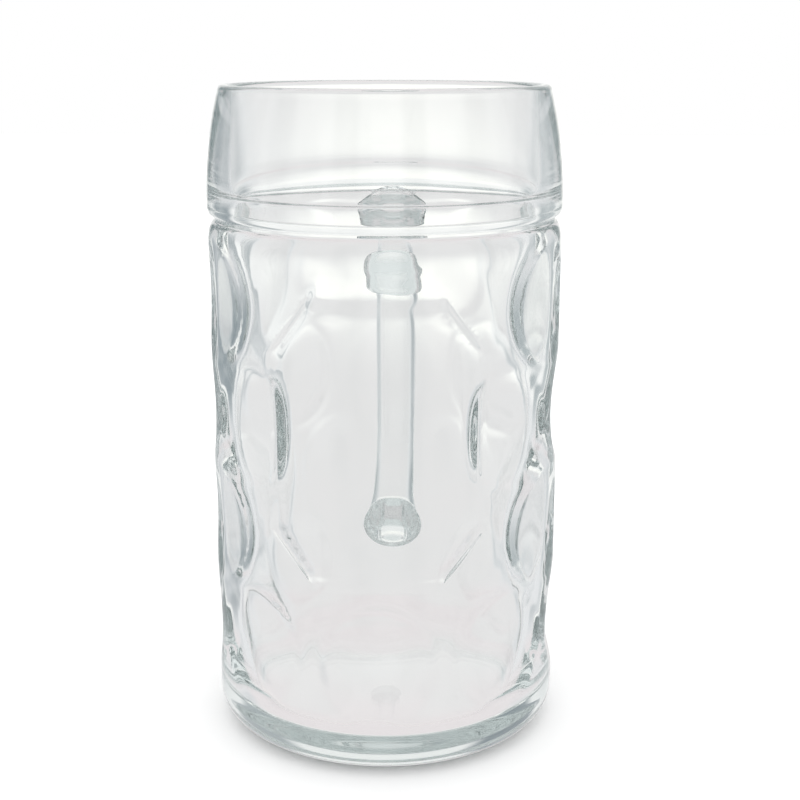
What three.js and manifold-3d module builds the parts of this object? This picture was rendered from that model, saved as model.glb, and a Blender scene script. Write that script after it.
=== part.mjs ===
// Dimpled glass beer stein: a thick pressed body and a handle fused on behind it.
// Millimetres, +Z up. The origin is on the body's axis, in the face that it stands on.
// The smooth label panel faces -Y, and the handle stands out along +Y.

import * as THREE from "three";
import Module from "manifold-3d";

const wasm = await Module();
wasm.setup();

// Body
const HEIGHT = 200;
const BODY_RADIUS = 54;
const HEEL_RADIUS = 10;
const WALL = 8;
const FLOOR_THICKNESS = 8.5;
const INNER_CORNER_RADIUS = 9;

// Band under the lip, and the groove that parts it from the dimpled wall
const BAND_HEIGHT = 35.5;
const BAND_OVERHANG = 0.1;
const BAND_EDGE_RADIUS = 2.4;
const GROOVE_DEPTH = 2;
const GROOVE_RADIUS = 1.4;
const SHOULDER_HEIGHT = 7;
const LIP_RADIUS = 50;
const LIP_THICKNESS = 4;
const LIP_ROUNDING = 1.8;
const BAND_WALL = 7;
const LEDGE_RISE = 9;
const LEDGE_HEIGHT = 10;

// Dimples: round hollows that flatten the wall's curve, in staggered rows, fainter behind at the handle
const DIMPLES_PER_ROW = 8;
const ROW_COUNT = 4;
const DIMPLE_RADIUS = 17.8;
const DIMPLE_DEPTH = 2.9;
const DIMPLE_RIM = 0.1;
const BASE_BAND = 16.7;
const TOP_ROW_OVERLAP = 2.9;
const BACK_START = THREE.MathUtils.degToRad(145);
const BACK_END = THREE.MathUtils.degToRad(165);
const BACK_FADE = 0.85;

// The inside of the wall follows the dimples with a softer rim, but not in the foot or behind the panel
const INNER_RIM = 0.15;
const INNER_FOOT_Z = 15;
const INNER_FULL_Z = 55;
const INNER_FADE = 4;

// Label panel: a smooth octagon that stands in the place of the front dimples
const PANEL_HALF_WIDTH = 31;
const PANEL_RISE = 0.5;
const PANEL_EDGE = 3.6;
const PANEL_TOP_GAP = 10.3;
const PANEL_BOTTOM_GAP = 9.2;
const PANEL_CORNER_WIDTH = 11;
const UPPER_CORNER_HEIGHT = 14;
const LOWER_CORNER_HEIGHT = 12;
const PANEL_KEEP = 0.2;

// Handle
const HANDLE_WIDTH = 17;
const HANDLE_THICKNESS = 15;
const FINGER_GAP = 32;
const HANDLE_TOP_DROP = 15;
const LOWER_JOINT_Z = 45;
const TOP_RISE = 4;
const TOP_BEND = 30;
const BOTTOM_BEND = 36;
const BOTTOM_RISE = 9;
const UPPER_FLARE = { across: 5, outward: 8.5 };
const LOWER_FLARE = { across: 3, outward: 2 };
const FLARE_LENGTH = 6;
const HANDLE_ROOT = 2;
const ROOT_LENGTH = 4;
const JOINT_GAP = 0.3;

// Facets
const BODY_SIDES = 64;
const WALL_ROWS = 32;
const INNER_ROWS = 22;
const ARC_STEPS = 4;
const HANDLE_SIDES = 20;
const HANDLE_STEPS = 32;

// Heights and radii that follow from the sizes above
const BAND_Z = HEIGHT - BAND_HEIGHT;
const BAND_RADIUS = BODY_RADIUS + BAND_OVERHANG;
const GROOVE_FLOOR_RADIUS = BODY_RADIUS - GROOVE_DEPTH;
const GROOVE_Z = BAND_Z - BAND_EDGE_RADIUS - GROOVE_RADIUS;
const SHOULDER_Z = GROOVE_Z - GROOVE_RADIUS - SHOULDER_HEIGHT;
const INNER_RADIUS = BODY_RADIUS - WALL;
const LIP_INNER_RADIUS = LIP_RADIUS - LIP_THICKNESS;
const LEDGE_RADIUS = BAND_RADIUS - BAND_WALL;
const LEDGE_TOP_Z = BAND_Z + LEDGE_RISE;
const LEDGE_LOW_Z = LEDGE_TOP_Z - LEDGE_HEIGHT;
const LOWEST_ROW_Z = BASE_BAND + DIMPLE_RADIUS;
const HIGHEST_ROW_Z = SHOULDER_Z + TOP_ROW_OVERLAP - DIMPLE_RADIUS;
const ROW_PITCH = (HIGHEST_ROW_Z - LOWEST_ROW_Z) / (ROW_COUNT - 1);
const DIMPLE_STEP = (2 * Math.PI) / DIMPLES_PER_ROW;
const PANEL_TOP_Z = SHOULDER_Z - PANEL_TOP_GAP;
const PANEL_BOTTOM_Z = LOWEST_ROW_Z + DIMPLE_RADIUS + PANEL_BOTTOM_GAP;
const PANEL_MIDDLE_Z = (PANEL_TOP_Z + PANEL_BOTTOM_Z) / 2;

// Rings of as many points each are joined side by side and closed at both ends.
function loft(rings) {
  const sides = rings[0].length;
  const index = [];
  for (let ring = 0; ring + 1 < rings.length; ring += 1) {
    for (let side = 0; side < sides; side += 1) {
      const a = ring * sides + side;
      const b = ring * sides + ((side + 1) % sides);
      index.push(a, b, b + sides, a, b + sides, a + sides);
    }
  }
  const last = (rings.length - 1) * sides;
  for (let side = 1; side + 1 < sides; side += 1) {
    index.push(0, side + 1, side);
    index.push(last, last + side, last + side + 1);
  }
  const geometry = new THREE.BufferGeometry().setFromPoints(rings.flat());
  geometry.setIndex(index);
  geometry.computeVertexNormals();
  return geometry;
}

// A closed loft becomes a solid that can be cut.
function solid(geometry) {
  const vertProperties = geometry.attributes.position.array;
  const triVerts = Uint32Array.from(geometry.index.array);
  return new wasm.Manifold(new wasm.Mesh({ numProp: 3, vertProperties, triVerts }));
}

// A cut solid becomes a geometry again.
function surface(shape) {
  const { vertProperties, triVerts } = shape.getMesh();
  const geometry = new THREE.BufferGeometry();
  geometry.setAttribute("position", new THREE.BufferAttribute(vertProperties, 3));
  geometry.setIndex(new THREE.BufferAttribute(triVerts, 1));
  geometry.computeVertexNormals();
  return geometry;
}

// A piece is a named mesh with its own glass.
function piece(name, geometry, color) {
  const material = new THREE.MeshStandardMaterial({ color, roughness: 0.04, metalness: 0 });
  const mesh = new THREE.Mesh(geometry, material);
  mesh.name = name;
  return mesh;
}

// How far a point of the wall lies inside the panel's outline, and less than 0 outside it.
function insidePanel(angle, z) {
  const turns = angle / (2 * Math.PI);
  const along = Math.abs(turns - Math.round(turns)) * 2 * Math.PI * BODY_RADIUS;
  const sideRoom = PANEL_HALF_WIDTH - along;
  const endRoom = PANEL_TOP_Z - PANEL_MIDDLE_Z - Math.abs(z - PANEL_MIDDLE_Z);
  const width = PANEL_CORNER_WIDTH;
  const height = z > PANEL_MIDDLE_Z ? UPPER_CORNER_HEIGHT : LOWER_CORNER_HEIGHT;
  const cornerRoom = (sideRoom * height + endRoom * width - width * height) / Math.hypot(width, height);
  return Math.min(sideRoom, endRoom, cornerRoom);
}

// How deep the dimples are at a point of the wall. Each row is turned half a step from the one below.
function dimpleDepth(angle, z, rim) {
  let deepest = 0;
  for (let row = 0; row < ROW_COUNT; row += 1) {
    const start = row % 2 === 0 ? 0 : DIMPLE_STEP / 2;
    const middle = Math.round((angle - start) / DIMPLE_STEP) * DIMPLE_STEP + start;
    const middleZ = LOWEST_ROW_Z + row * ROW_PITCH;
    const distance = Math.hypot((angle - middle) * BODY_RADIUS, z - middleZ);
    const share = 1 - (distance / DIMPLE_RADIUS) ** 2;
    const depth = (DIMPLE_DEPTH * (share + Math.hypot(share, rim))) / 2;
    const kept = insidePanel(middle, middleZ) > 0 ? PANEL_KEEP : 1;
    deepest = Math.max(deepest, depth * kept);
  }
  const turn = Math.min(angle, 2 * Math.PI - angle);
  return deepest * (1 - BACK_FADE * THREE.MathUtils.smoothstep(turn, BACK_START, BACK_END));
}

// The height of the wall's relief: the panel stands proud, and the dimples are sunk round it.
function relief(angle, z) {
  const panel = THREE.MathUtils.smoothstep(insidePanel(angle, z), -PANEL_EDGE / 2, PANEL_EDGE / 2);
  return PANEL_RISE * panel - dimpleDepth(angle, z, DIMPLE_RIM) * (1 - panel);
}

// How far the inside of the wall stands out from its plain round, less than 0 where it bulges into the cup.
function bulge(angle, z) {
  const panel = THREE.MathUtils.smoothstep(insidePanel(angle, z), -INNER_FADE, INNER_FADE);
  const follow = THREE.MathUtils.smoothstep(z, INNER_FOOT_Z, INNER_FULL_Z) * (1 - panel);
  return -follow * dimpleDepth(angle, z, INNER_RIM);
}

// A ring of points round the axis, with or without the relief.
function bodyRing(point, reliefAt) {
  const ring = [];
  for (let side = 0; side < BODY_SIDES; side += 1) {
    const angle = (2 * Math.PI * side) / BODY_SIDES;
    const radius = point.x + reliefAt(angle, point.y);
    ring.push(new THREE.Vector3(radius * Math.sin(angle), -radius * Math.cos(angle), point.y));
  }
  return ring;
}

// Radius against height up the outside, from the base to the lip, moved out by grow.
function outsideProfile(grow) {
  const wallRadius = BODY_RADIUS + grow;
  const grooveRadius = GROOVE_FLOOR_RADIUS + grow;
  const bandRadius = BAND_RADIUS + grow;
  const lipRadius = LIP_RADIUS + grow;
  const heel = new THREE.Path();
  heel.absarc(wallRadius - HEEL_RADIUS, HEEL_RADIUS, HEEL_RADIUS, -Math.PI / 2, 0, false);
  const wall = [];
  for (let row = 1; row < WALL_ROWS; row += 1) {
    wall.push(new THREE.Vector2(wallRadius, HEEL_RADIUS + ((SHOULDER_Z - HEEL_RADIUS) * row) / WALL_ROWS));
  }
  const top = new THREE.Path();
  top.moveTo(wallRadius, SHOULDER_Z);
  top.quadraticCurveTo(wallRadius, GROOVE_Z - GROOVE_RADIUS, grooveRadius, GROOVE_Z - GROOVE_RADIUS / 2);
  top.lineTo(grooveRadius, GROOVE_Z + GROOVE_RADIUS / 2);
  top.quadraticCurveTo(bandRadius, BAND_Z - BAND_EDGE_RADIUS, bandRadius, BAND_Z);
  top.quadraticCurveTo(bandRadius, (BAND_Z + HEIGHT) / 2, lipRadius, HEIGHT - LIP_ROUNDING);
  top.quadraticCurveTo(lipRadius, HEIGHT, lipRadius - LIP_ROUNDING, HEIGHT);
  return [...heel.getPoints(ARC_STEPS / 2), ...wall, ...top.getPoints(ARC_STEPS)];
}

// Radius against height down the inside, from the lip over the band's ledge to the floor.
function insideProfile() {
  const ledgeMiddleZ = (LEDGE_TOP_Z + LEDGE_LOW_Z) / 2;
  const ledgeMiddle = (LEDGE_RADIUS + INNER_RADIUS) / 2;
  const cornerZ = FLOOR_THICKNESS + INNER_CORNER_RADIUS;
  const top = new THREE.Path();
  top.moveTo(LIP_INNER_RADIUS + LIP_ROUNDING, HEIGHT);
  top.quadraticCurveTo(LIP_INNER_RADIUS, HEIGHT, LIP_INNER_RADIUS, HEIGHT - LIP_ROUNDING);
  top.quadraticCurveTo(LEDGE_RADIUS, (LEDGE_TOP_Z + HEIGHT) / 2, LEDGE_RADIUS, LEDGE_TOP_Z);
  top.quadraticCurveTo(LEDGE_RADIUS, ledgeMiddleZ, ledgeMiddle, ledgeMiddleZ);
  top.quadraticCurveTo(INNER_RADIUS, ledgeMiddleZ, INNER_RADIUS, LEDGE_LOW_Z);
  const wall = [];
  for (let row = 1; row < INNER_ROWS; row += 1) {
    wall.push(new THREE.Vector2(INNER_RADIUS, LEDGE_LOW_Z + ((cornerZ - LEDGE_LOW_Z) * row) / INNER_ROWS));
  }
  const corner = new THREE.Path();
  corner.absarc(INNER_RADIUS - INNER_CORNER_RADIUS, cornerZ, INNER_CORNER_RADIUS, 0, -Math.PI / 2, true);
  return [...top.getPoints(ARC_STEPS / 2), ...wall, ...corner.getPoints(ARC_STEPS / 2)];
}

// Body: up the outside with the relief, over the lip, and down the inside that follows it.
function glassBody() {
  const outside = outsideProfile(0).map((point) => bodyRing(point, relief));
  const inside = insideProfile().map((point) => bodyRing(point, bulge));
  return piece("glass_body", loft([...outside, ...inside]), 0xe6eded);
}

// The line through the middle of the handle, from the upper joint round to the lower one, with a straight
// root at both ends that runs into the body.
function handlePath() {
  const rootY = BODY_RADIUS - HANDLE_ROOT;
  const gripY = BODY_RADIUS + FINGER_GAP + HANDLE_THICKNESS / 2;
  const middleY = (rootY + gripY) / 2;
  const upperZ = GROOVE_Z - HANDLE_TOP_DROP;
  const lowerZ = LOWER_JOINT_Z;
  const rootSlope = ROOT_LENGTH / (middleY - rootY);
  const point = (y, z) => new THREE.Vector3(0, y, z);
  const upper = [
    point(rootY, upperZ),
    point(middleY, upperZ + TOP_RISE),
    point(gripY, upperZ + TOP_RISE),
    point(gripY, upperZ - TOP_BEND),
  ];
  const lower = [
    point(gripY, lowerZ + BOTTOM_BEND),
    point(gripY, lowerZ + BOTTOM_RISE),
    point(middleY, lowerZ + BOTTOM_RISE),
    point(rootY, lowerZ),
  ];
  const path = new THREE.CurvePath();
  path.add(new THREE.LineCurve3(point(rootY - ROOT_LENGTH, upperZ - TOP_RISE * rootSlope), upper[0]));
  path.add(new THREE.CubicBezierCurve3(...upper));
  path.add(new THREE.LineCurve3(upper[3], lower[0]));
  path.add(new THREE.CubicBezierCurve3(...lower));
  path.add(new THREE.LineCurve3(lower[3], point(rootY - ROOT_LENGTH, lowerZ - BOTTOM_RISE * rootSlope)));
  return path;
}

// How much of a joint's flare is left at a length along the path from its end.
function flareShare(fromEnd) {
  return Math.exp(-Math.max(fromEnd - ROOT_LENGTH, 0) / FLARE_LENGTH);
}

// One oval section of the handle, square to its path and wider towards both joints.
function handleRing(path, share) {
  const centre = path.getPointAt(share);
  const tangent = path.getTangentAt(share);
  const across = new THREE.Vector3(1, 0, 0);
  const outward = new THREE.Vector3().crossVectors(tangent, across);
  const upper = flareShare(path.getLength() * share);
  const lower = flareShare(path.getLength() * (1 - share));
  const halfWidth = HANDLE_WIDTH / 2 + UPPER_FLARE.across * upper + LOWER_FLARE.across * lower;
  const halfHeight = HANDLE_THICKNESS / 2 + UPPER_FLARE.outward * upper + LOWER_FLARE.outward * lower;
  const ring = [];
  for (let side = 0; side < HANDLE_SIDES; side += 1) {
    const angle = (2 * Math.PI * side) / HANDLE_SIDES;
    ring.push(
      centre
        .clone()
        .addScaledVector(across, halfWidth * Math.cos(angle))
        .addScaledVector(outward, halfHeight * Math.sin(angle)),
    );
  }
  return ring;
}

// Handle: the swept loop, cut back to the body's surface with a thin gap at both joints.
function glassHandle() {
  const path = handlePath();
  const rings = [];
  for (let step = 0; step <= HANDLE_STEPS; step += 1) {
    const share = (1 - Math.cos((Math.PI * step) / HANDLE_STEPS)) / 2;
    rings.push(handleRing(path, share));
  }
  const body = outsideProfile(JOINT_GAP).map((point) => bodyRing(point, relief));
  const shape = solid(loft(rings)).subtract(solid(loft(body)));
  return piece("glass_handle", surface(shape), 0xe3ebeb);
}

const stein = new THREE.Group();
stein.add(glassBody());
stein.add(glassHandle());

export default stein;
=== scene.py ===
"""Looks of a one-litre dimpled glass beer stein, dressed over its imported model.

Metres, +Z up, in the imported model's own frame: the origin is on the body's axis, in the face that the
stein stands on, the label panel faces -Y and the handle stands out along +Y.
"""

import logging
import math
from dataclasses import dataclass
from enum import Enum
from typing import Any

import bpy
import numpy as np
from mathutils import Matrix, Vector


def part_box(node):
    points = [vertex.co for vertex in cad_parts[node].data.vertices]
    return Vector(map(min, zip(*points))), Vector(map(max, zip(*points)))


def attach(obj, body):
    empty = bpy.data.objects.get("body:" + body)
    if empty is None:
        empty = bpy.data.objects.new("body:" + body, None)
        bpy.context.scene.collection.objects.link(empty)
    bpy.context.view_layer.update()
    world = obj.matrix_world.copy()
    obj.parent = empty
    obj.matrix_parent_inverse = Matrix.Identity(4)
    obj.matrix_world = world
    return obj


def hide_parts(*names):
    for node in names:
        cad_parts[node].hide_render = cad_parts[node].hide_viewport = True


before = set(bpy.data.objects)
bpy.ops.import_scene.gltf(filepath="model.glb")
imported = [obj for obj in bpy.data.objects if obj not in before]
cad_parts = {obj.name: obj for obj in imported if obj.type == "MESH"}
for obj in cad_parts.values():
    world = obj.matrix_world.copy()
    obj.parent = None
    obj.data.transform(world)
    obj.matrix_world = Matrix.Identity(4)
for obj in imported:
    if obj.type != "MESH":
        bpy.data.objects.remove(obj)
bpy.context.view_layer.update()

ROOT_BODY = "root"
MM = 0.001
SAME_POINT = 0.001 * MM

Colour = tuple[float, float, float]
Stretch = tuple[float, float, float]
Point = tuple[float, float]
Span = tuple[float, float]

log = logging.getLogger("stein")


class Noise(Enum):
    """The kinds of unevenness that pressed glass shows."""

    CORD = "cord"
    SKIN = "skin"
    SMEAR = "smear"


def smoothstep(low: float, high: float, value: np.ndarray) -> np.ndarray:
    """Eases from 0 at low to 1 at high.

    Args:
        low: Where the step starts.
        high: Where it ends.
        value: The values to ease.

    Returns:
        The eased shares.
    """
    share = np.clip((value - low) / (high - low), 0.0, 1.0)
    return share * share * (3.0 - 2.0 * share)


def arc(centre: Point, radius: float, start: float, end: float, steps: int) -> list[Point]:
    """Points along an arc of a profile.

    Args:
        centre: The arc's centre, as radius and height.
        radius: Its own radius.
        start: Its first angle in degrees, 0 pointing out and 90 up.
        end: Its last angle in degrees.
        steps: How many steps it has.

    Returns:
        One point more than the steps.
    """
    angles = np.radians(np.linspace(start, end, steps + 1))
    return [(centre[0] + radius * math.cos(a), centre[1] + radius * math.sin(a)) for a in angles]


def bow(start: Point, pull: Point, end: Point, steps: int) -> list[Point]:
    """Points along a quadratic curve of a profile.

    Args:
        start: The first point.
        pull: The point that the curve is drawn towards.
        end: The last point.
        steps: How many steps it has.

    Returns:
        One point more than the steps.
    """
    shares = np.linspace(0.0, 1.0, steps + 1)
    weights = [((1 - t) ** 2, 2 * t * (1 - t), t**2) for t in shares]
    return [tuple(a * s + b * p + c * e for s, p, e in zip(start, pull, end)) for a, b, c in weights]


def line(start: Point, end: Point, steps: int) -> list[Point]:
    """Evenly spaced points along a straight stretch of a profile.

    Args:
        start: The first point.
        end: The last point.
        steps: How many steps it has.

    Returns:
        One point more than the steps.
    """
    shares = np.linspace(0.0, 1.0, steps + 1)
    return [(start[0] + (end[0] - start[0]) * t, start[1] + (end[1] - start[1]) * t) for t in shares]


class Mesh:
    """Hand tools for one new mesh object, worked through Blender's own operators."""

    @staticmethod
    def begin() -> None:
        """Lets go of everything, so that operators act on the new object alone."""
        if bpy.context.object and bpy.context.object.mode != "OBJECT":
            bpy.ops.object.mode_set(mode="OBJECT")
        bpy.ops.object.select_all(action="DESELECT")

    @staticmethod
    def named(name: str) -> bpy.types.Object:
        """Names the active object and its mesh.

        Args:
            name: The name that both get.

        Returns:
            The object.
        """
        made = bpy.context.object
        made.name = name
        made.data.name = name
        return made

    @staticmethod
    def edit(made: bpy.types.Object) -> None:
        """Starts editing an object's mesh with all of it selected.

        Args:
            made: The object whose mesh is edited.
        """
        bpy.context.view_layer.objects.active = made
        bpy.ops.object.mode_set(mode="EDIT")
        bpy.ops.mesh.select_all(action="SELECT")

    @staticmethod
    def choose(made: bpy.types.Object, chosen: np.ndarray) -> None:
        """Starts editing an object's mesh with only some of its points selected.

        Args:
            made: The object whose mesh is edited.
            chosen: One truth value for each point.
        """
        Mesh.edit(made)
        bpy.ops.mesh.select_all(action="DESELECT")
        Mesh.done()
        made.data.vertices.foreach_set("select", chosen)
        bpy.ops.object.mode_set(mode="EDIT")

    @staticmethod
    def done() -> None:
        """Ends editing."""
        bpy.ops.object.mode_set(mode="OBJECT")

    @staticmethod
    def places(made: bpy.types.Object) -> np.ndarray:
        """Reads where a mesh's points are.

        Args:
            made: The object whose mesh is read.

        Returns:
            Rows of x, y and z.
        """
        flat = np.empty(len(made.data.vertices) * 3, dtype=np.float32)
        made.data.vertices.foreach_get("co", flat)
        return flat.reshape(-1, 3).astype(np.float64)

    @staticmethod
    def move(made: bpy.types.Object, places: np.ndarray) -> None:
        """Puts a mesh's points at new places.

        Args:
            made: The object whose mesh is shaped.
            places: Rows of x, y and z.
        """
        made.data.vertices.foreach_set("co", places.astype(np.float32).ravel())
        made.data.update()

    @staticmethod
    def close(made: bpy.types.Object, join: float) -> None:
        """Joins doubled points, turns every face outwards and smooths the shading.

        Args:
            made: The object to finish.
            join: The distance under which points are one.
        """
        Mesh.edit(made)
        bpy.ops.mesh.remove_doubles(threshold=join)
        bpy.ops.mesh.normals_make_consistent(inside=False)
        Mesh.done()
        bpy.ops.object.select_all(action="DESELECT")
        made.select_set(True)
        bpy.ops.object.shade_smooth()

    @staticmethod
    def spun(name: str, outline: list[Point], columns: int) -> bpy.types.Object:
        """Draws an outline by extruding a point along it, and spins it about the Z axis.

        Args:
            name: The object's name.
            outline: Radius against height, from the axis and back to it.
            columns: How many steps the spin has.

        Returns:
            The closed, turned object.
        """
        Mesh.begin()
        bpy.ops.mesh.primitive_plane_add(size=MM)
        made = Mesh.named(name)
        Mesh.edit(made)
        bpy.ops.mesh.merge(type="CENTER")
        bpy.ops.transform.translate(value=(outline[0][0], 0.0, outline[0][1]))
        for here, there in zip(outline, outline[1:]):
            step = (there[0] - here[0], 0.0, there[1] - here[1])
            bpy.ops.mesh.extrude_vertices_move(TRANSFORM_OT_translate={"value": step})
        bpy.ops.mesh.select_all(action="SELECT")
        bpy.ops.mesh.spin(steps=columns, angle=math.tau, center=(0, 0, 0), axis=(0, 0, 1))
        Mesh.done()
        Mesh.close(made, join=SAME_POINT)
        return made


class Value:
    """A number socket that Python's operators work on."""

    def __init__(self, tree: "Nodes", socket: bpy.types.NodeSocket) -> None:
        """Wraps one socket of a node tree."""
        self.tree = tree
        self.socket = socket

    def _with(self, operation: str, first: Any, second: Any) -> "Value":
        """Adds one Math node and returns its result."""
        made = self.tree.node("ShaderNodeMath", {"operation": operation}, {0: first, 1: second})
        return Value(self.tree, made.outputs[0])

    def __add__(self, other: Any) -> "Value":
        """Returns this value plus another."""
        return self._with("ADD", self, other)

    __radd__ = __add__

    def __mul__(self, other: Any) -> "Value":
        """Returns this value times another."""
        return self._with("MULTIPLY", self, other)

    __rmul__ = __mul__

    def __sub__(self, other: Any) -> "Value":
        """Returns this value less another."""
        return self._with("SUBTRACT", self, other)

    def __rsub__(self, other: Any) -> "Value":
        """Returns another value less this one."""
        return self._with("SUBTRACT", other, self)

    def turned(self, other: "Value") -> "Value":
        """The angle of a direction away from an axis, to either side of it.

        Args:
            other: The direction's part along the axis, this being its part across it.

        Returns:
            The angle in degrees, from -180 to 180.
        """
        return self._with("ARCTAN2", self, other) * math.degrees(1.0)

    def waved(self, waves: int) -> "Value":
        """A cosine wave of this angle, which is in degrees.

        Args:
            waves: How many waves a full turn has.

        Returns:
            A value from -1 to 1.
        """
        return self._with("COSINE", self * math.radians(waves), 0.0)

    def eased(self, low: float, high: float) -> "Value":
        """Eases from 0 at low to 1 at high.

        Args:
            low: Where the step starts.
            high: Where it ends.

        Returns:
            The eased share.
        """
        settings = {"interpolation_type": "SMOOTHSTEP"}
        sockets = {"Value": self, "From Min": low, "From Max": high}
        made = self.tree.node("ShaderNodeMapRange", settings, sockets)
        return Value(self.tree, made.outputs["Result"])


class Nodes:
    """A node tree that is written as Python."""

    def __init__(self, tree: bpy.types.NodeTree) -> None:
        """Takes a node tree over and empties it."""
        self.tree = tree
        tree.nodes.clear()

    def node(
        self, kind: str, settings: dict[str, Any] | None = None, sockets: dict[Any, Any] | None = None
    ) -> bpy.types.Node:
        """Adds any node.

        Args:
            kind: The node's type.
            settings: Its own settings, which are set first.
            sockets: The values or links of its sockets, by name or number.

        Returns:
            The new node.
        """
        made = self.tree.nodes.new(kind)
        for name, setting in (settings or {}).items():
            setattr(made, name, setting)
        for name, source in (sockets or {}).items():
            self.feed(made.inputs[name], source)
        return made

    def feed(self, socket: bpy.types.NodeSocket, source: Any) -> None:
        """Links a socket to a source, or sets its value.

        Args:
            socket: The socket to feed.
            source: A Value, a socket, or a plain number, colour or vector.
        """
        if isinstance(source, Value):
            source = source.socket
        if isinstance(source, bpy.types.NodeSocket):
            self.tree.links.new(source, socket)
        elif isinstance(source, tuple) and len(source) == 3 and socket.type == "RGBA":
            socket.default_value = (*source, 1.0)
        else:
            socket.default_value = source

    def value(self, node: bpy.types.Node, output: str) -> Value:
        """Returns a node's output as a value."""
        return Value(self, node.outputs[output])

    def mixed(self, share: Value, first: Any, second: Any) -> bpy.types.NodeSocket:
        """Mixes two colours.

        Args:
            share: 0 for the first colour and 1 for the second.
            first: A colour or a colour socket.
            second: Another.

        Returns:
            The mixed colour's socket.
        """
        made = self.node("ShaderNodeMix", {"data_type": "RGBA"}, {"Factor": share, 6: first, 7: second})
        return made.outputs[2]

    def blended(self, share: Value, first: bpy.types.Node, second: bpy.types.Node) -> bpy.types.Node:
        """Mixes two shaders.

        Args:
            share: 0 for the first shader and 1 for the second.
            first: A shader's node.
            second: Another.

        Returns:
            The mixed shader's node.
        """
        return self.node("ShaderNodeMixShader", None, {0: share, 1: first.outputs[0], 2: second.outputs[0]})


@dataclass(frozen=True)
class GlassFinish:
    """Clear fire-polished soda-lime glass."""

    name: str
    tint: Colour = (0.990, 0.993, 0.992)
    smeared_tint: Colour = (0.972, 0.980, 0.979)
    kept: Colour = (0.27, 0.38, 0.37)
    density: float = 2.6
    ior: float = 1.52
    polish: float = 0.004
    smear: float = 0.022
    smear_size: float = 38.0
    smear_detail: float = 4.0
    smear_stretch: Stretch = (1.0, 1.0, 0.6)
    smear_span: Span = (0.52, 0.78)
    cord_size: float = 46.0
    cord_detail: float = 1.0
    cord_stretch: Stretch = (1.0, 1.0, 0.45)
    cord_height: float = 0.06 * MM
    skin_size: float = 420.0
    skin_detail: float = 2.0
    skin_stretch: Stretch = (1.0, 1.0, 1.0)
    skin_height: float = 0.0004 * MM

    def noise(self, nodes: Nodes, kind: Noise) -> Value:
        """One of the unevennesses of pressed glass.

        Args:
            nodes: The tree to add it to.
            kind: Which of them.

        Returns:
            A value from 0 to 1 over the surface.
        """
        place = nodes.node("ShaderNodeTexCoord").outputs["Object"]
        sizes = {
            Noise.CORD: (self.cord_size, self.cord_detail, self.cord_stretch),
            Noise.SKIN: (self.skin_size, self.skin_detail, self.skin_stretch),
            Noise.SMEAR: (self.smear_size, self.smear_detail, self.smear_stretch),
        }
        scale, detail, stretch = sizes[kind]
        drawn = nodes.node("ShaderNodeMapping", None, {"Vector": place, "Scale": stretch})
        sockets = {"Vector": drawn.outputs["Vector"], "Scale": scale, "Detail": detail}
        return nodes.value(nodes.node("ShaderNodeTexNoise", None, sockets), "Fac")

    def material(self) -> bpy.types.Material:
        """Makes the material.

        Returns:
            A glass with faint cords, a fine moulded skin and smears from handling.
        """
        made = bpy.data.materials.new(self.name)
        made.use_nodes = True
        nodes = Nodes(made.node_tree)
        smears = self.noise(nodes, Noise.SMEAR).eased(*self.smear_span)
        cords = self.noise(nodes, Noise.CORD) * self.cord_height
        relief = cords + self.noise(nodes, Noise.SKIN) * self.skin_height
        bump = nodes.node("ShaderNodeBump", None, {"Height": relief, "Distance": 1.0, "Strength": 1.0})
        glass = nodes.node(
            "ShaderNodeBsdfPrincipled",
            None,
            {
                "Base Color": nodes.mixed(smears, self.tint, self.smeared_tint),
                "Roughness": smears * self.smear + self.polish,
                "IOR": self.ior,
                "Transmission Weight": 1.0,
                "Normal": bump.outputs["Normal"],
            },
        )
        bulk = nodes.node("ShaderNodeVolumeAbsorption", None, {"Color": self.kept, "Density": self.density})
        parts = {"Surface": glass.outputs["BSDF"], "Volume": bulk.outputs["Volume"]}
        nodes.node("ShaderNodeOutputMaterial", None, parts)
        return made


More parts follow.
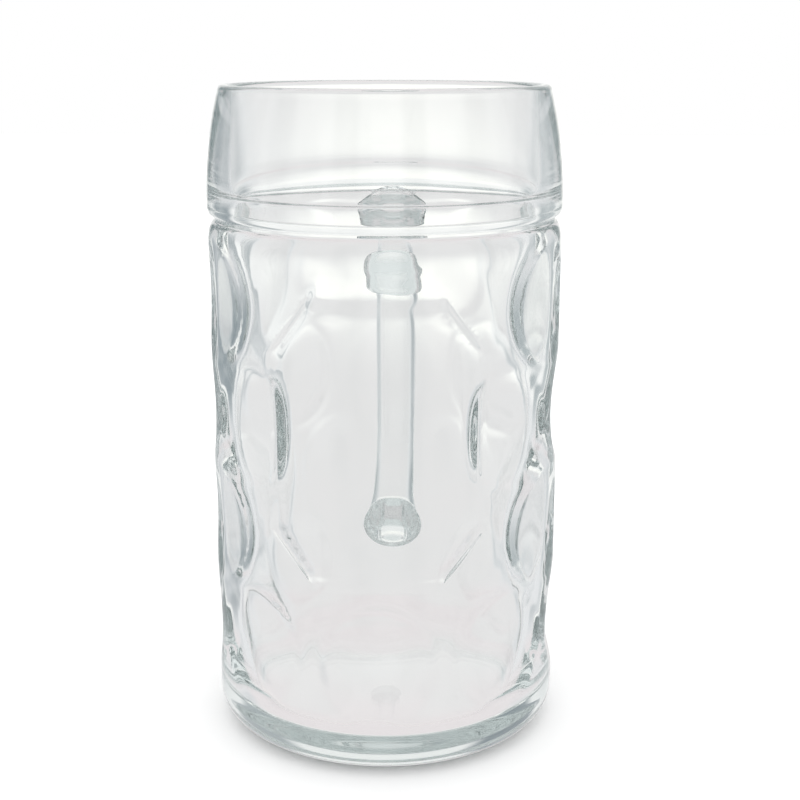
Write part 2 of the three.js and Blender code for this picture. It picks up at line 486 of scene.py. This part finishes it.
@dataclass
class GlassBody:
    """The pressed body: a dimpled cup with a smooth panel, a band under the lip and a thick base."""

    height: float
    radius: float = 54.0 * MM
    heel_radius: float = 10.0 * MM
    wall: float = 8.0 * MM
    floor_thickness: float = 8.5 * MM
    inner_corner: float = 9.0 * MM
    band_height: float = 35.5 * MM
    band_overhang: float = 0.1 * MM
    band_edge: float = 2.4 * MM
    groove_depth: float = 2.0 * MM
    groove_radius: float = 1.4 * MM
    shoulder_height: float = 7.0 * MM
    lip_radius: float = 50.0 * MM
    lip_thickness: float = 4.0 * MM
    lip_rounding: float = 1.8 * MM
    band_wall: float = 7.0 * MM
    ledge_rise: float = 9.0 * MM
    ledge_height: float = 10.0 * MM
    dimples_per_row: int = 8
    rows: int = 4
    dimple_radius: float = 17.8 * MM
    lowest_row: float = 34.5 * MM
    row_pitch: float = 34.3 * MM
    dimple_depth: float = 2.9 * MM
    dimple_rim: float = 0.1
    inner_rim: float = 0.15
    inner_fade: float = 4.0 * MM
    inner_foot: Span = (15.0 * MM, 55.0 * MM)
    inner_panel_rise: float = 0.7 * MM
    inner_panel_edge: float = 3.0 * MM
    inner_panel_grow: float = 1.2 * MM
    back_turn: Span = (145.0, 165.0)
    back_fade: float = 0.85
    panel_half_width: float = 31.0 * MM
    panel_rise: float = 1.0 * MM
    panel_edge: float = 3.6 * MM
    panel_corner_edge: float = 3.0 * MM
    panel_straights: float = 0.4
    panel_keep: float = 0.2
    panel_top: float = 142.0 * MM
    panel_bottom: float = 61.5 * MM
    panel_corner_width: float = 11.0 * MM
    upper_corner_height: float = 14.0 * MM
    lower_corner_height: float = 12.0 * MM
    columns: int = 288
    flat_rows: int = 3
    bend_rows: int = 14
    wall_rows: int = 136
    groove_rows: int = 3
    band_edge_rows: int = 12
    band_rows: int = 24
    lip_rows: int = 8
    ledge_rows: int = 6
    inner_rows: int = 52
    fine_margin: float = 2.4 * MM
    fine_cuts: int = 2

    @property
    def band_z(self) -> float:
        """Height of the fullest part of the band."""
        return self.height - self.band_height

    @property
    def groove_z(self) -> float:
        """Height of the middle of the groove."""
        return self.band_z - self.band_edge - self.groove_radius

    @property
    def shoulder_z(self) -> float:
        """Height where the straight wall turns in to the groove."""
        return self.groove_z - self.groove_radius - self.shoulder_height

    def outline(self) -> list[Point]:
        """The body's outline, up the outside from the axis and down the inside back to it.

        Returns:
            Points of radius against height.
        """
        heel = self.radius - self.heel_radius
        groove = self.radius - self.groove_depth
        band = self.radius + self.band_overhang
        lip_out, lip_in = self.lip_radius, self.lip_radius - self.lip_thickness
        lip_z = self.height - self.lip_rounding
        inner = self.radius - self.wall
        corner_z = self.floor_thickness + self.inner_corner
        low, high = self.groove_z - self.groove_radius, self.groove_z + self.groove_radius / 2
        ledge_out = band - self.band_wall
        ledge_top = self.band_z + self.ledge_rise
        ledge_mid, ledge_low = ledge_top - self.ledge_height / 2, ledge_top - self.ledge_height
        shoulder = (self.radius, self.shoulder_z)
        groove_foot = (groove, low + self.groove_radius / 2)
        fullest = (band, self.band_z)
        ledge_step = ((ledge_out + inner) / 2, ledge_mid)
        stretches = [
            line((0.0, 0.0), (heel, 0.0), self.flat_rows),
            arc((heel, self.heel_radius), self.heel_radius, -90.0, 0.0, self.bend_rows),
            line((self.radius, self.heel_radius), shoulder, self.wall_rows),
            bow(shoulder, (self.radius, low), groove_foot, self.bend_rows),
            line(groove_foot, (groove, high), self.groove_rows),
            bow((groove, high), (band, self.band_z - self.band_edge), fullest, self.band_edge_rows),
            bow(fullest, (band, (self.band_z + self.height) / 2), (lip_out, lip_z), self.band_rows),
            bow(
                (lip_out, lip_z),
                (lip_out, self.height),
                (lip_out - self.lip_rounding, self.height),
                self.lip_rows,
            ),
            bow(
                (lip_in + self.lip_rounding, self.height),
                (lip_in, self.height),
                (lip_in, lip_z),
                self.lip_rows,
            ),
            bow(
                (lip_in, lip_z),
                (ledge_out, (ledge_top + self.height) / 2),
                (ledge_out, ledge_top),
                self.bend_rows,
            ),
            bow((ledge_out, ledge_top), (ledge_out, ledge_mid), ledge_step, self.ledge_rows),
            bow(ledge_step, (inner, ledge_mid), (inner, ledge_low), self.ledge_rows),
            line((inner, ledge_low), (inner, corner_z), self.inner_rows),
            arc((inner - self.inner_corner, corner_z), self.inner_corner, 0.0, -90.0, self.bend_rows),
            line(
                (inner - self.inner_corner, self.floor_thickness),
                (0.0, self.floor_thickness),
                self.flat_rows,
            ),
        ]
        points = [stretches[0][0]]
        for stretch in stretches:
            points += [p for p in stretch if math.dist(p, points[-1]) > SAME_POINT]
        return points

    def dimples(self, angle: np.ndarray, z: np.ndarray, soft: float) -> np.ndarray:
        """How deep the dimples are at points of the wall: round hollows, flat across the wall's curve.

        Args:
            angle: The points' angles from the front.
            z: Their heights.
            soft: How gently a dimple's rim is rounded.

        Returns:
            The depths. Each row is turned half a step from the one below. Dimples that the panel stands
            in the place of are faint, and so are those behind, where the handle was fused on.
        """
        step = math.tau / self.dimples_per_row
        deepest = np.zeros_like(angle)
        for row in range(self.rows):
            middle_z = self.lowest_row + row * self.row_pitch
            start = (row % 2) * step / 2
            middle = np.round((angle - start) / step) * step + start
            away = np.hypot((angle - middle) * self.radius, z - middle_z)
            share = 1.0 - (away / self.dimple_radius) ** 2
            depth = self.dimple_depth * (share + np.hypot(share, soft)) / 2
            in_panel = self.inside_panel(middle, np.full_like(z, middle_z)) > 0.0
            deepest = np.maximum(deepest, depth * np.where(in_panel, self.panel_keep, 1.0))
        behind = smoothstep(*self.back_turn, np.abs(np.degrees(angle)))
        return deepest * (1.0 - self.back_fade * behind)

    def inside_panel(self, angle: np.ndarray, z: np.ndarray, straights: float = 1.0) -> np.ndarray:
        """How far points of the wall lie inside the panel's outline.

        Args:
            angle: The points' angles from the front.
            z: Their heights.
            straights: The share that a distance from the sides and ends counts for, beside the corners.

        Returns:
            The distances, less than 0 outside.
        """
        top, bottom = self.panel_top, self.panel_bottom
        turns = angle / math.tau
        side = self.panel_half_width - np.abs(turns - np.round(turns)) * math.tau * self.radius
        end = (top - bottom) / 2 - np.abs(z - (top + bottom) / 2)
        width = self.panel_corner_width
        height = np.where(z > (top + bottom) / 2, self.upper_corner_height, self.lower_corner_height)
        corner = (side * height + end * width - width * height) / np.hypot(width, height)
        return np.minimum(np.minimum(side, end) * straights, corner)

    def relief(self, angle: np.ndarray, z: np.ndarray) -> np.ndarray:
        """The height of the wall's relief: the panel stands proud, and the dimples are sunk round it.

        Args:
            angle: The points' angles from the front.
            z: Their heights.

        Returns:
            The heights over the plain wall.
        """
        half, corner_half = self.panel_edge / 2, self.panel_corner_edge / 2
        panel = smoothstep(-half, half, self.inside_panel(angle, z))
        raised = smoothstep(-corner_half, corner_half, self.inside_panel(angle, z, self.panel_straights))
        return self.panel_rise * raised - self.dimples(angle, z, self.dimple_rim) * (1.0 - panel)

    def bulges(self, angle: np.ndarray, z: np.ndarray) -> np.ndarray:
        """How far the inside of the wall follows the panel, and the dimples above the thick foot.

        Args:
            angle: The points' angles from the front.
            z: Their heights.

        Returns:
            The heights away from the axis, less than 0 where the inside bulges into the cup.
        """
        inside = self.inside_panel(angle, z)
        half = self.inner_panel_edge / 2
        follows = self.inside_panel(angle, z, self.panel_straights) + self.inner_panel_grow
        raised = self.inner_panel_rise * smoothstep(-half, half, follows)
        plain = smoothstep(-self.inner_fade, self.inner_fade, inside)
        share = smoothstep(*self.inner_foot, z) * (1.0 - plain)
        return raised - share * self.dimples(angle, z, self.inner_rim)

    def sharpen(self, made: bpy.types.Object) -> None:
        """Cuts the plain wall finer along the panel's edge, so that the edge comes out crisp.

        Args:
            made: The body before its relief is pressed in.
        """
        x, y, z = Mesh.places(made).T
        outside = np.hypot(x, y) > self.radius - self.wall / 2
        near = np.abs(self.inside_panel(np.arctan2(x, -y), z)) < self.fine_margin
        Mesh.choose(made, outside & near)
        bpy.ops.mesh.subdivide(number_cuts=self.fine_cuts, ngon=False, quadcorner="FAN")
        Mesh.done()

    def build(self) -> bpy.types.Object:
        """Spins the outline, presses the relief into the wall's outside and bulges its inside.

        Returns:
            The finished body.
        """
        made = Mesh.spun("stein_body", self.outline(), self.columns)
        self.sharpen(made)
        x, y, z = Mesh.places(made).T
        around = np.hypot(x, y)
        angle = np.arctan2(x, -y)
        outside = around > self.radius - self.wall / 2
        straight = outside & (z > self.heel_radius) & (z < self.shoulder_z)
        plain = np.where(straight, self.radius, around)
        pressed = np.where(outside, self.relief(angle, z), self.bulges(angle, z))
        on_wall = (z < self.groove_z) & (around > self.radius / 2)
        grown = np.where(on_wall, (plain + pressed) / np.maximum(around, MM), 1.0)
        Mesh.move(made, np.stack([x * grown, y * grown, z], axis=1))
        return made

    def dress(self, made: bpy.types.Object, finish: GlassFinish) -> None:
        """Gives the body its glass and its place in the frame.

        Args:
            made: The finished body.
            finish: Its glass.
        """
        made.data.materials.append(finish.material())
        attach(made, ROOT_BODY)
        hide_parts("glass_body")


@dataclass
class GlassHandle:
    """The handle: a gob of glass drawn into a loop, with both ends fused to the body."""

    body: GlassBody
    width: float = 17.0 * MM
    thickness: float = 15.0 * MM
    finger_gap: float = 32.0 * MM
    top_drop: float = 15.0 * MM
    lower_z: float = 45.0 * MM
    top_rise: float = 4.0 * MM
    top_bend: float = 30.0 * MM
    bottom_bend: float = 36.0 * MM
    bottom_rise: float = 9.0 * MM
    root: float = 2.0 * MM
    sunk: float = 0.4 * MM
    upper_flare: Point = (5.0 * MM, 8.5 * MM)
    lower_flare: Point = (3.0 * MM, 2.0 * MM)
    flare_length: float = 6.0 * MM
    roundness: float = 0.55
    sides: int = 48
    steps: int = 120
    end_rings: int = 5
    path_points: int = 200
    seat_rounds: int = 6

    def path(self) -> np.ndarray:
        """The line through the middle of the handle, from the upper joint round to the lower one.

        Returns:
            Closely spaced rows of y and z.
        """
        root = self.body.radius - self.root
        grip = self.body.radius + self.finger_gap + self.thickness / 2
        middle = (root + grip) / 2
        upper, lower = self.body.groove_z - self.top_drop, self.lower_z
        top, bottom = upper + self.top_rise, lower + self.bottom_rise
        bends = [
            [(root, upper), (middle, top), (grip, top), (grip, upper - self.top_bend)],
            [(grip, lower + self.bottom_bend), (grip, bottom), (middle, bottom), (root, lower)],
        ]
        share = np.linspace(0.0, 1.0, self.path_points)[:, None]
        weights = [(1 - share) ** 3, 3 * share * (1 - share) ** 2, 3 * share**2 * (1 - share), share**3]
        return np.concatenate([sum(w * np.array(p) for w, p in zip(weights, bend)) for bend in bends])

    def rod(self) -> bpy.types.Object:
        """Models the handle as a straight rod of unit size, cut into rings along it and on both ends.

        Returns:
            A rod of radius 1 round the Z axis, from 0 to 1.
        """
        Mesh.begin()
        half = 0.5
        bpy.ops.mesh.primitive_cylinder_add(
            vertices=self.sides, radius=1.0, depth=1.0, location=(0.0, 0.0, half)
        )
        made = Mesh.named("stein_handle")
        bpy.ops.object.transform_apply(location=True)
        Mesh.edit(made)
        bpy.ops.mesh.select_mode(type="EDGE")
        bpy.ops.mesh.select_all(action="DESELECT")
        Mesh.done()
        for edge in made.data.edges:
            ends = [made.data.vertices[v].co.z for v in edge.vertices]
            edge.select = abs(ends[0] - ends[1]) > half
        bpy.ops.object.mode_set(mode="EDIT")
        bpy.ops.mesh.subdivide(number_cuts=self.steps - 1)
        bpy.ops.mesh.select_mode(type="FACE")
        bpy.ops.mesh.select_all(action="DESELECT")
        bpy.ops.mesh.select_face_by_sides(number=4, type="GREATER")
        for _ in range(self.end_rings):
            bpy.ops.mesh.inset(thickness=1.0 / (self.end_rings + 1))
        bpy.ops.mesh.poke()
        bpy.ops.mesh.select_mode(type="VERT")
        Mesh.done()
        return made

    def bent(self, rod: np.ndarray) -> np.ndarray:
        """Bends the straight rod along the handle's path, squares its section and flares both joints.

        Args:
            rod: The rod's points.

        Returns:
            The handle's points, before the ends are set on the body.
        """
        path = self.path()
        steps = np.linalg.norm(np.diff(path, axis=0), axis=1)
        length = np.concatenate([[0.0], np.cumsum(steps)])
        at = np.clip(rod[:, 2], 0.0, 1.0) * length[-1]
        centre = np.stack([np.interp(at, length, path[:, axis]) for axis in (0, 1)], axis=1)
        slope = np.gradient(path, length, axis=0)
        along = np.stack([np.interp(at, length, slope[:, axis]) for axis in (0, 1)], axis=1)
        along /= np.linalg.norm(along, axis=1, keepdims=True)
        upper, lower = np.exp(-at / self.flare_length), np.exp((at - length[-1]) / self.flare_length)
        flares = [upper * up + lower * low for up, low in zip(self.upper_flare, self.lower_flare)]
        rounding = self.roundness + (1.0 - self.roundness) * np.maximum(upper, lower)
        across, outward = (np.sign(part) * np.abs(part) ** rounding for part in rod[:, :2].T)
        across *= self.width / 2 + flares[0]
        outward *= self.thickness / 2 + flares[1]
        y = centre[:, 0] + outward * -along[:, 1]
        z = centre[:, 1] + outward * along[:, 0]
        return np.stack([across, y, z], axis=1)

    def seated(self, places: np.ndarray, ends: np.ndarray) -> np.ndarray:
        """Lays the rod's end faces in the body's surface, a little under it.

        Args:
            places: The handle's points.
            ends: Which of them lie on an end face.

        Returns:
            The points with both ends seated.
        """
        x, y, z = places.T
        surface = y
        for _ in range(self.seat_rounds):
            angle = np.arctan2(x, -surface)
            radius = self.body.radius + self.body.relief(angle, z) - self.sunk
            surface = np.sqrt(np.maximum(radius**2 - x**2, 0.0))
        return np.stack([x, np.where(ends, surface, np.maximum(y, surface)), z], axis=1)

    def build(self) -> bpy.types.Object:
        """Models the rod, bends it and sets it on the body.

        Returns:
            The finished handle.
        """
        made = self.rod()
        rod = Mesh.places(made)
        ends = (rod[:, 2] < SAME_POINT) | (rod[:, 2] > 1.0 - SAME_POINT)
        Mesh.move(made, self.seated(self.bent(rod), ends))
        Mesh.close(made, join=SAME_POINT)
        return made

    def dress(self, made: bpy.types.Object, finish: GlassFinish) -> None:
        """Gives the handle its glass and its place in the frame.

        Args:
            made: The finished handle.
            finish: Its glass.
        """
        made.data.materials.append(finish.material())
        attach(made, ROOT_BODY)
        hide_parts("glass_handle")


@dataclass
class Studio:
    """A white sweep under soft light, seen by a camera in front of the label panel.

    The surround that the glass shows is pale, with a dark card on either side behind the stein. Places in
    it are spans: angles from straight behind in degrees, or parts of a direction from -1 to 1.
    """

    camera_distance: float = 440.0 * MM
    camera_height: float = 211.8 * MM
    camera_azimuth: float = 3.0
    camera_pitch: float = 13.97
    camera_pan: float = 0.6
    lens: float = 64.54
    floor_size: float = 6.0
    floor_gap: float = 0.2 * MM
    floor_white: float = 0.97
    bounces: int = 64
    soft_level: float = 1.4
    left_card: Span = (20.0, 58.0)
    right_card: Span = (16.0, 52.0)
    side_floor: Span = (14.0, 100.0)
    card_fade: float = 9.0
    card_foot: Span = (-0.52, 0.0)
    card_head: Span = (0.45, 0.75)
    strips: int = 8
    strip_edge: Span = (0.0, 0.8)
    behind: Span = (-0.30, 0.50)
    overhead: Span = (0.35, 0.80)
    far_floor: Span = (0.10, 0.24)
    near_floor: Span = (0.34, 0.60)
    glow_back: Span = (0.955, 0.998)
    glow_foot: Span = (-0.24, -0.12)
    glow_head: Span = (-0.06, 0.04)
    strip_tone: Colour = (0.47, 0.51, 0.515)
    front_tone: Colour = (1.0, 1.03, 1.03)
    back_tone: Colour = (0.99, 1.0, 0.99)
    top_tone: Colour = (0.79, 0.835, 0.83)
    far_floor_tone: Colour = (0.815, 0.81, 0.81)
    side_floor_tone: Colour = (0.825, 0.838, 0.85)
    floor_tone: Colour = (0.83, 0.787, 0.795)
    glow_tone: Colour = (1.15, 1.15, 1.1)
    left_tone: Colour = (0.26, 0.31, 0.335)
    right_tone: Colour = (0.43, 0.48, 0.495)

    def camera(self) -> None:
        """Sets the camera up in front of the stein, a little over its lip."""
        azimuth = math.radians(self.camera_azimuth)
        heading = azimuth - math.radians(self.camera_pan)
        pitch = math.radians(self.camera_pitch)
        data = bpy.data.cameras.new("camera")
        data.lens = self.lens
        made = bpy.data.objects.new("camera", data)
        away = self.camera_distance
        made.location = (away * math.sin(azimuth), -away * math.cos(azimuth), self.camera_height)
        level = math.cos(pitch)
        look = Vector((-math.sin(heading) * level, math.cos(heading) * level, -math.sin(pitch)))
        made.rotation_euler = look.to_track_quat("-Z", "Y").to_euler()
        bpy.context.collection.objects.link(made)
        bpy.context.scene.camera = made

    def floor(self) -> None:
        """Lays the white sweep that the stein stands on."""
        Mesh.begin()
        bpy.ops.mesh.primitive_plane_add(size=self.floor_size, location=(0.0, 0.0, -self.floor_gap))
        made = Mesh.named("floor")
        material = bpy.data.materials.new("white_sweep")
        material.use_nodes = True
        nodes = Nodes(material.node_tree)
        paper = nodes.node("ShaderNodeBsdfDiffuse", None, {"Color": (self.floor_white,) * 3})
        through = nodes.node("ShaderNodeBsdfTransparent")
        shown = nodes.blended(self.seen_in_glass(nodes), paper, through)
        nodes.node("ShaderNodeOutputMaterial", None, {"Surface": shown.outputs[0]})
        made.data.materials.append(material)

    @staticmethod
    def seen_in_glass(nodes: Nodes) -> Value:
        """Tells rays that have met glass from the others.

        Args:
            nodes: The tree to add to.

        Returns:
            1 for reflected and refracted rays, and 0 for the rest.
        """
        ray = nodes.node("ShaderNodeLightPath")
        return nodes.value(ray, "Is Glossy Ray") + nodes.value(ray, "Is Transmission Ray")

    def between(self, aside: Value, span: Span) -> Value:
        """The share of a card that stands in the surround.

        Args:
            aside: The angle from straight behind the stein, in degrees.
            span: Where the card starts and where it ends.

        Returns:
            1 on the card, fading to 0 over both edges.
        """
        start, end = span
        fade = self.card_fade
        return aside.eased(start, start + fade) * (1.0 - aside.eased(end - fade, end))

    def surround(self, nodes: Nodes) -> bpy.types.NodeSocket:
        """Paints what the glass shows of the studio.

        Args:
            nodes: The world's tree.

        Returns:
            The socket with the colour of each direction. Later tones lie over earlier ones.
        """
        way = nodes.node("ShaderNodeTexCoord").outputs["Generated"]
        split = nodes.node("ShaderNodeSeparateXYZ", None, {"Vector": way})
        back, up = nodes.value(split, "Y"), nodes.value(split, "Z")
        right = nodes.value(split, "X").turned(back)
        left, down = 0.0 - right, 0.0 - up
        sides = self.between(left, self.side_floor) + self.between(right, self.side_floor)
        low, lower = down.eased(*self.far_floor), down.eased(*self.near_floor)
        standing = up.eased(*self.card_foot) * (1.0 - up.eased(*self.card_head))
        behind = back.eased(*self.behind)
        strips = (0.0 - right.waved(self.strips)).eased(*self.strip_edge) * (1.0 - behind)
        glow = back.eased(*self.glow_back) * up.eased(*self.glow_foot) * down.eased(*self.glow_head)
        tone: Any = self.front_tone
        for share, towards in (
            (behind, self.back_tone),
            (up.eased(*self.overhead), self.top_tone),
            (low, self.far_floor_tone),
            (low * sides, self.side_floor_tone),
            (lower, self.floor_tone),
            (glow, self.glow_tone),
            (standing * strips, self.strip_tone),
            (standing * self.between(left, self.left_card), self.left_tone),
            (standing * self.between(right, self.right_card), self.right_tone),
        ):
            tone = nodes.mixed(share, tone, towards)
        return tone

    def world(self) -> None:
        """Lights the stein softly and evenly, shows the surround in its glass, and white behind it."""
        world = bpy.data.worlds.new("white_surround")
        world.use_nodes = True
        bpy.context.scene.world = world
        nodes = Nodes(world.node_tree)
        white = (1.0, 1.0, 1.0)
        shown, soft, plain = (
            nodes.node("ShaderNodeBackground", None, {"Color": colour, "Strength": strength})
            for colour, strength in ((self.surround(nodes), 1.0), (white, self.soft_level), (white, 1.0))
        )
        lit = nodes.blended(self.seen_in_glass(nodes), soft, shown)
        camera = nodes.value(nodes.node("ShaderNodeLightPath"), "Is Camera Ray")
        seen = nodes.blended(camera, lit, plain)
        nodes.node("ShaderNodeOutputWorld", None, {"Surface": seen.outputs[0]})

    def build(self) -> None:
        """Sets up camera, floor and light, with bounces enough for glass behind glass."""
        self.camera()
        self.floor()
        self.world()
        scene = bpy.context.scene
        scene.view_settings.view_transform = "Standard"
        scene.cycles.max_bounces = self.bounces
        scene.cycles.transmission_bounces = self.bounces
        scene.cycles.glossy_bounces = self.bounces


def main() -> None:
    """Builds the studio and the stein's pieces, and reports each piece."""
    logging.basicConfig(level=logging.INFO, format="%(name)s: %(message)s")
    Studio().build()
    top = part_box("glass_body")[1][2]
    body = GlassBody(height=top)
    handle = GlassHandle(body)
    for part, glass in ((body, "body_glass"), (handle, "handle_glass")):
        made = part.build()
        part.dress(made, GlassFinish(glass))
        log.info("%s has %d points", made.name, len(made.data.vertices))


if __name__ == "__main__":
    main()
